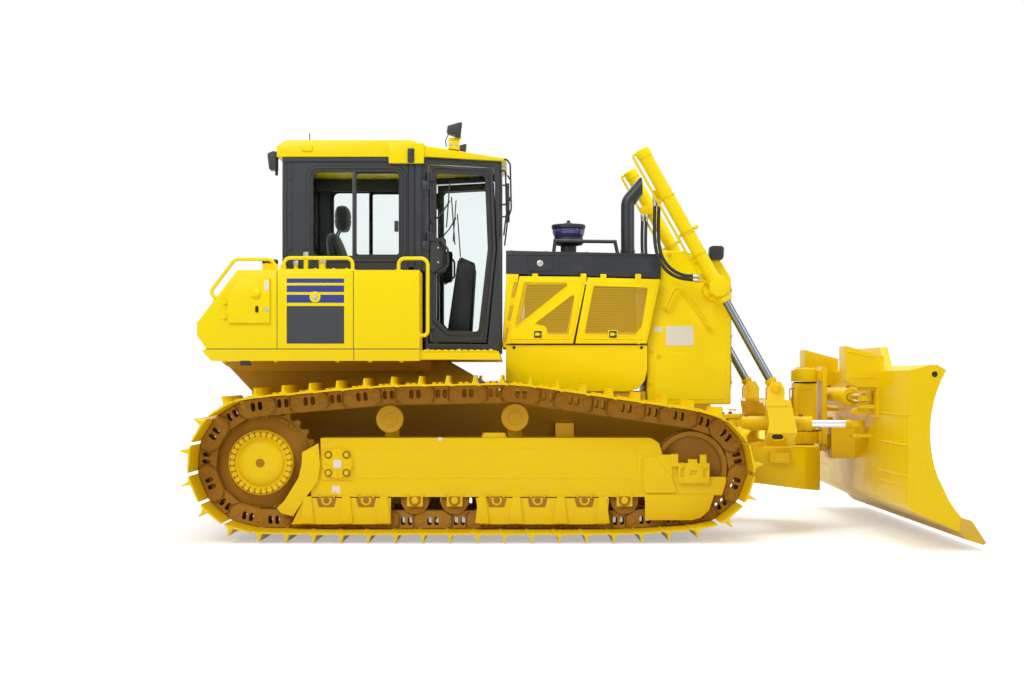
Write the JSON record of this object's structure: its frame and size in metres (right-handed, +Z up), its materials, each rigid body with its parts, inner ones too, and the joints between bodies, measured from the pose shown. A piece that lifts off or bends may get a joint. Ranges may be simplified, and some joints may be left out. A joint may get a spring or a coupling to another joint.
{
  "type": "crawler bulldozer",
  "caption": "Crawler bulldozer on wide tracks with an enclosed cab and a blade that lifts, angles and tilts on a push frame.",
  "frame": {"origin": "on the ground under the middle of the machine's length and width", "axes": "+X ahead along the length, +Y to the left, +Z up"},
  "size_m": [5.8629, 4.01, 3.27],
  "materials": {
    "body_yellow": "gloss",
    "charcoal": "satin",
    "track_steel": "satin",
    "chrome_rod": "polished",
    "tinted_glass": "polished",
    "exhaust_steel": "satin",
    "black_plastic": "matte",
    "seat_fabric": "matte",
    "lamp_body": "matte",
    "edge_steel": "satin",
    "hose_rubber": "satin",
    "engine_paint": "satin"
  },
  "bodies": {
    "machine": {"main_frame": "body_yellow", "drawbar": "body_yellow", "track_frames": "body_yellow", "sprockets": "track_steel", "idlers": "track_steel", "rollers": "track_steel", "track_right": "track_steel", "track_left": "track_steel", "fender_right": "body_yellow", "fender_left": "body_yellow", "cab": "charcoal", "cab_glass": "tinted_glass", "cab_roof": "body_yellow", "seat": "seat_fabric", "console": "black_plastic", "hood": "charcoal", "engine_bay": "body_yellow", "engine": "engine_paint", "radiator_guard": "body_yellow", "front_grille": "body_yellow", "exhaust_stack": "exhaust_steel", "precleaner": "black_plastic", "handrails": "body_yellow", "lamps": "lamp_body"},
    "c_frame": {"c_frame": "body_yellow", "lift_bridge_right": "body_yellow", "lift_bridge_left": "body_yellow"},
    "swing_yoke": {"swing_yoke": "body_yellow"},
    "blade": {"blade": "body_yellow", "cutting_edge": "edge_steel"},
    "tilt_cylinder": {"tilt_cylinder": "body_yellow"},
    "tilt_rod": {"tilt_rod": "chrome_rod"},
    "lift_cylinder_right": {"lift_cylinder_right": "body_yellow", "lift_hose_rear_right": "hose_rubber", "lift_hose_front_right": "hose_rubber"},
    "lift_rod_right": {"lift_rod_right": "chrome_rod"},
    "lift_cylinder_left": {"lift_cylinder_left": "body_yellow", "lift_hose_rear_left": "hose_rubber", "lift_hose_front_left": "hose_rubber"},
    "lift_rod_left": {"lift_rod_left": "chrome_rod"},
    "angle_cylinder_right": {"angle_cylinder_right": "body_yellow"},
    "angle_rod_right": {"angle_rod_right": "chrome_rod"},
    "angle_cylinder_left": {"angle_cylinder_left": "body_yellow"},
    "angle_rod_left": {"angle_rod_left": "chrome_rod"},
    "cab_door_right": {"cab_door_right": "charcoal", "door_glass_right": "tinted_glass"},
    "engine_door_rear_right": {"engine_door_rear_right": "body_yellow"},
    "engine_door_front_right": {"engine_door_front_right": "body_yellow"},
    "utility_door_right": {"utility_door_right": "body_yellow"},
    "cab_door_left": {"cab_door_left": "charcoal", "door_glass_left": "tinted_glass"},
    "engine_door_rear_left": {"engine_door_rear_left": "body_yellow"},
    "engine_door_front_left": {"engine_door_front_left": "body_yellow"},
    "utility_door_left": {"utility_door_left": "body_yellow"}
  },
  "joints": [
    {"name": "blade_lift", "type": "hinge", "parent": "machine", "child": "c_frame", "pos_m": [-0.332, 0, 0.56], "axis": [0, -1, 0], "range_deg": [-9.5, 19]},
    {"name": "lift_swing_right", "type": "hinge", "parent": "machine", "child": "lift_cylinder_right", "pos_m": [1.179, -0.68, 1.957], "axis": [0, -1, 0], "range_deg": [-4.46, 8.92]},
    {"name": "lift_stroke_right", "type": "slide", "parent": "lift_cylinder_right", "child": "lift_rod_right", "axis": [0.4882, 0, -0.8727], "range_m": [-0.6677, 0.334]},
    {"name": "lift_swing_left", "type": "hinge", "parent": "machine", "child": "lift_cylinder_left", "pos_m": [1.179, 0.68, 1.957], "axis": [0, -1, 0], "range_deg": [-4.46, 8.92]},
    {"name": "lift_stroke_left", "type": "slide", "parent": "lift_cylinder_left", "child": "lift_rod_left", "axis": [0.4882, 0, -0.8727], "range_m": [-0.6677, 0.334]},
    {"name": "blade_angle", "type": "hinge", "parent": "c_frame", "child": "swing_yoke", "pos_m": [1.99, 0, 0.7], "axis": [0, 0, 1], "range_deg": [-25, 25]},
    {"name": "angle_swing_right", "type": "hinge", "parent": "c_frame", "child": "angle_cylinder_right", "pos_m": [1.322, -0.47, 0.87], "axis": [0, 0, 1], "range_deg": [-10.49, 10.49]},
    {"name": "angle_stroke_right", "type": "slide", "parent": "angle_cylinder_right", "child": "angle_rod_right", "axis": [0.9831, -0.1828, 0], "range_m": [-0.2529, 0.2529]},
    {"name": "angle_swing_left", "type": "hinge", "parent": "c_frame", "child": "angle_cylinder_left", "pos_m": [1.322, 0.47, 0.87], "axis": [0, 0, 1], "range_deg": [-10.49, 10.49]},
    {"name": "angle_stroke_left", "type": "slide", "parent": "angle_cylinder_left", "child": "angle_rod_left", "axis": [0.9831, 0.1828, 0], "range_m": [-0.2529, 0.2529]},
    {"name": "blade_tilt", "type": "hinge", "parent": "swing_yoke", "child": "blade", "pos_m": [2.2, 0, 0.7], "axis": [1, 0, 0], "range_deg": [-3.5, 3.5]},
    {"name": "tilt_swing", "type": "hinge", "parent": "swing_yoke", "child": "tilt_cylinder", "pos_m": [2.24, 0.4, 1.08], "axis": [1, 0, 0], "range_deg": [-2.45, 2.45]},
    {"name": "tilt_stroke", "type": "slide", "parent": "tilt_cylinder", "child": "tilt_rod", "axis": [0.0461, -0.9989, 0], "range_m": [-0.0234, 0.0234]},
    {"name": "cab_door_right_hinge", "type": "hinge", "parent": "machine", "child": "cab_door_right", "pos_m": [-1.117, -0.762, 2.2], "axis": [0, 0, -1], "range_deg": [0, 85]},
    {"name": "engine_door_rear_right_hinge", "type": "hinge", "parent": "machine", "child": "engine_door_rear_right", "pos_m": [-0.128, -0.465, 2.068], "axis": [-1, 0, 0], "range_deg": [0, 75]},
    {"name": "engine_door_front_right_hinge", "type": "hinge", "parent": "machine", "child": "engine_door_front_right", "pos_m": [0.446, -0.465, 2.06], "axis": [-1, 0, 0], "range_deg": [0, 75]},
    {"name": "utility_door_right_hinge", "type": "hinge", "parent": "machine", "child": "utility_door_right", "pos_m": [-2.632, -1.195, 1.83], "axis": [0, 0, -1], "range_deg": [0, 100]},
    {"name": "cab_door_left_hinge", "type": "hinge", "parent": "machine", "child": "cab_door_left", "pos_m": [-1.117, 0.762, 2.2], "axis": [0, 0, 1], "range_deg": [0, 85]},
    {"name": "engine_door_rear_left_hinge", "type": "hinge", "parent": "machine", "child": "engine_door_rear_left", "pos_m": [-0.128, 0.465, 2.068], "axis": [1, 0, 0], "range_deg": [0, 75]},
    {"name": "engine_door_front_left_hinge", "type": "hinge", "parent": "machine", "child": "engine_door_front_left", "pos_m": [0.446, 0.465, 2.06], "axis": [1, 0, 0], "range_deg": [0, 75]},
    {"name": "utility_door_left_hinge", "type": "hinge", "parent": "machine", "child": "utility_door_left", "pos_m": [-2.632, 1.195, 1.83], "axis": [0, 0, 1], "range_deg": [0, 100]}
  ],
  "couplings": [
    {"joint": "lift_swing_right", "follows": "blade_lift", "ratio": 0.469},
    {"joint": "lift_stroke_right", "follows": "blade_lift", "m_per_rad": -2.013},
    {"joint": "lift_swing_left", "follows": "blade_lift", "ratio": 0.469},
    {"joint": "lift_stroke_left", "follows": "blade_lift", "m_per_rad": -2.013},
    {"joint": "angle_swing_right", "follows": "blade_angle", "ratio": 0.419},
    {"joint": "angle_stroke_right", "follows": "blade_angle", "m_per_rad": 0.579},
    {"joint": "angle_swing_left", "follows": "blade_angle", "ratio": 0.419},
    {"joint": "angle_stroke_left", "follows": "blade_angle", "m_per_rad": -0.579},
    {"joint": "tilt_swing", "follows": "blade_tilt", "ratio": 0.697},
    {"joint": "tilt_stroke", "follows": "blade_tilt", "m_per_rad": 0.38}
  ]
}
